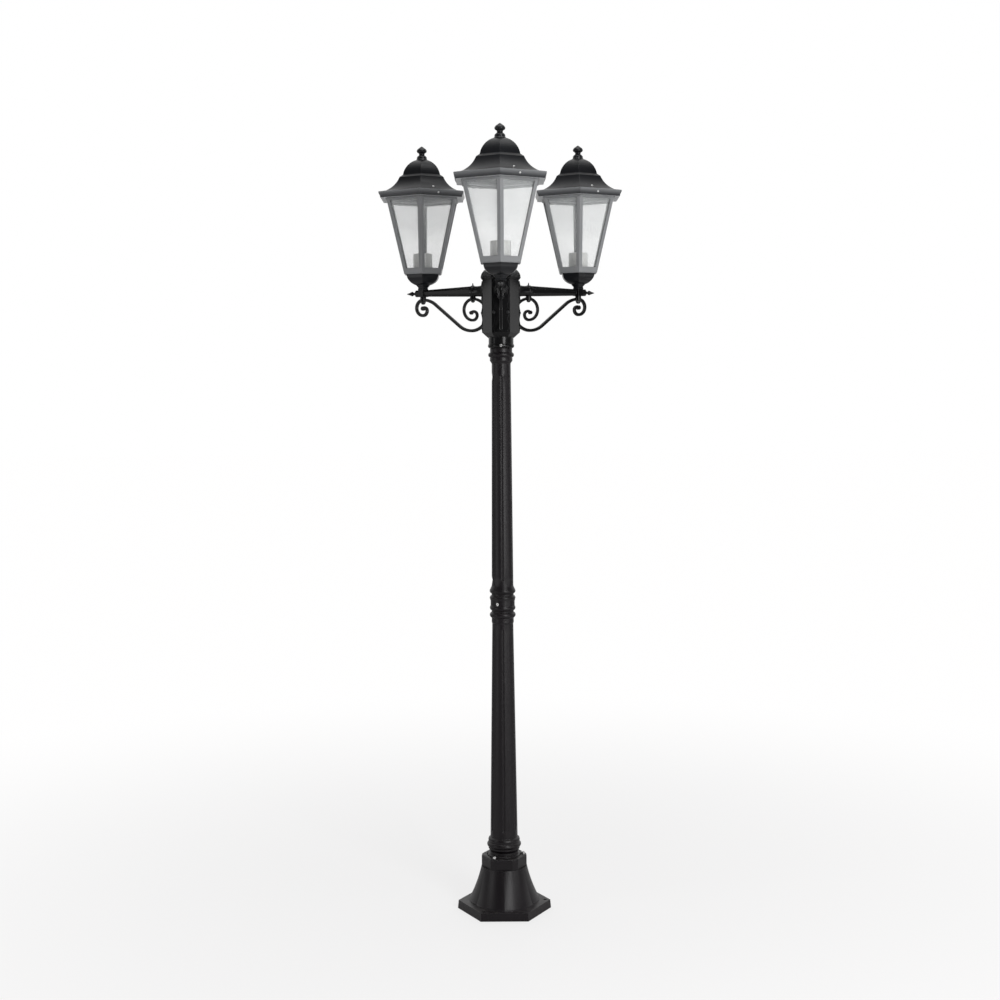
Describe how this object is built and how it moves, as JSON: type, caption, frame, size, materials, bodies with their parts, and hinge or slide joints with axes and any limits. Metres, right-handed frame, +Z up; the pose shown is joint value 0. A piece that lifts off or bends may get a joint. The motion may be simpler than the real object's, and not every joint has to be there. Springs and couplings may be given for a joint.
{
  "type": "lamp post",
  "caption": "Garden lamp post: hexagonal base with a petalled bell, fluted post, hexagonal hub, scrolled arms and tapered hexagonal glass lanterns with hinged roofs.",
  "frame": {"origin": "centre of the circle of anchor holes, on the ground under the post's axis", "axes": "+Z up along the post, -Y towards the front arm, +X to the right seen from the front"},
  "size_m": [0.7032, 0.68, 2.2363],
  "materials": {
    "black_powder_coat": "satin black powder coat on cast aluminium, faint fine grain",
    "hub_powder_coat": "satin black powder coat on cast aluminium",
    "lantern_charcoal": "satin charcoal powder coat on cast aluminium",
    "lantern_graphite": "satin graphite grey powder coat on cast aluminium",
    "clear_glass": "clear flat glass, polished",
    "porcelain": "glazed white porcelain",
    "bright_screws": "plain stainless steel screws and pins",
    "black_screws": "black coated steel",
    "zinc_tube": "zinc plated threaded tube",
    "spring_steel": "bright spring steel strip"
  },
  "bodies": {
    "post": {"base_casting": "black_powder_coat", "base_collar": "black_powder_coat", "collar_screws": "bright_screws", "lower_post": "black_powder_coat", "upper_post": "black_powder_coat", "coupling_screw": "bright_screws", "hub": "hub_powder_coat", "hub_screw": "bright_screws", "hub_cap": "hub_powder_coat", "cap_finial": "hub_powder_coat", "terminal_block": "porcelain", "front_arm": "hub_powder_coat", "right_arm": "hub_powder_coat", "left_arm": "hub_powder_coat", "front_arm_tip": "hub_powder_coat", "right_arm_tip": "hub_powder_coat", "left_arm_tip": "hub_powder_coat", "front_long_scroll": "hub_powder_coat", "right_long_scroll": "hub_powder_coat", "left_long_scroll": "hub_powder_coat", "front_short_scroll": "hub_powder_coat", "right_short_scroll": "hub_powder_coat", "left_short_scroll": "hub_powder_coat", "plate_screws": "bright_screws", "scroll_bolts": "black_screws", "stem_nuts": "black_screws", "hinge_pins": "bright_screws", "front_bowl": "lantern_charcoal", "right_bowl": "lantern_charcoal", "left_bowl": "lantern_charcoal", "front_frame": "lantern_graphite", "right_frame": "lantern_graphite", "left_frame": "lantern_graphite", "front_glass": "clear_glass", "right_glass": "clear_glass", "left_glass": "clear_glass", "front_stem": "zinc_tube", "right_stem": "zinc_tube", "left_stem": "zinc_tube", "front_lampholder": "porcelain", "right_lampholder": "porcelain", "left_lampholder": "porcelain"},
    "front_roof_lid": {"front_roof": "lantern_charcoal", "front_roof_finial": "lantern_charcoal", "front_catch": "spring_steel", "front_catch_screws": "bright_screws"},
    "right_roof_lid": {"right_roof": "lantern_charcoal", "right_roof_finial": "lantern_charcoal", "right_catch": "spring_steel", "right_catch_screws": "bright_screws"},
    "left_roof_lid": {"left_roof": "lantern_charcoal", "left_roof_finial": "lantern_charcoal", "left_catch": "spring_steel", "left_catch_screws": "bright_screws"}
  },
  "joints": [
    {"name": "front_roof_hinge", "type": "hinge", "parent": "post", "child": "front_roof_lid", "pos_m": [-0.06375, -0.15358, 2.094], "axis": [-0.866, -0.5, 0], "range_deg": [0, 95]},
    {"name": "right_roof_hinge", "type": "hinge", "parent": "post", "child": "right_roof_lid", "pos_m": [0.16488, 0.24242, 2.094], "axis": [-0.866, -0.5, 0], "range_deg": [0, 95]},
    {"name": "left_roof_hinge", "type": "hinge", "parent": "post", "child": "left_roof_lid", "pos_m": [-0.29238, 0.24242, 2.094], "axis": [-0.866, -0.5, 0], "range_deg": [0, 95]}
  ]
}
